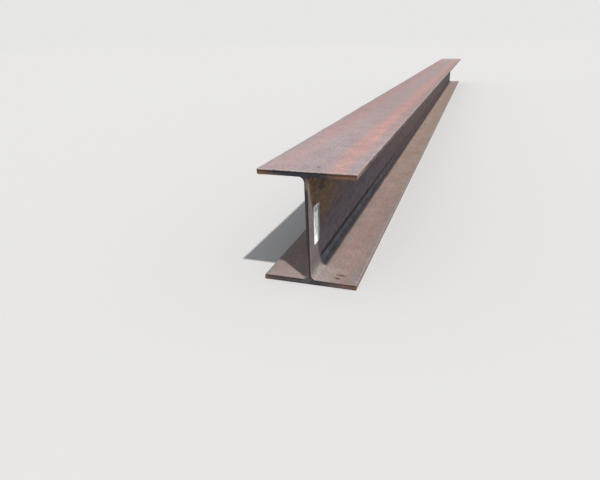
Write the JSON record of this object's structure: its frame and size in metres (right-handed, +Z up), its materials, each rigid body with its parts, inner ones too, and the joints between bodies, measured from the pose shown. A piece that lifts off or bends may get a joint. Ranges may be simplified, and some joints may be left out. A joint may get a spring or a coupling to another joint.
{
  "type": "steel h-beam",
  "caption": "Hot-rolled steel H-beam in a stock length: wide parallel flanges on a thin web with rounded roots, sawn ends, mill scale with light rust and a blank paper label.",
  "frame": {"origin": "on the underside of the bottom flange, at the middle of the beam's width and length", "axes": "+Y along the beam, away from the labelled end; +X across the flanges; +Z up, along the web's depth"},
  "size_m": [0.254, 6, 0.306],
  "materials": {
    "rolled_steel": "matte",
    "label_paper": "matte"
  },
  "bodies": {
    "root": {"h_beam": "rolled_steel", "paper_label": "label_paper"}
  },
  "joints": []
}
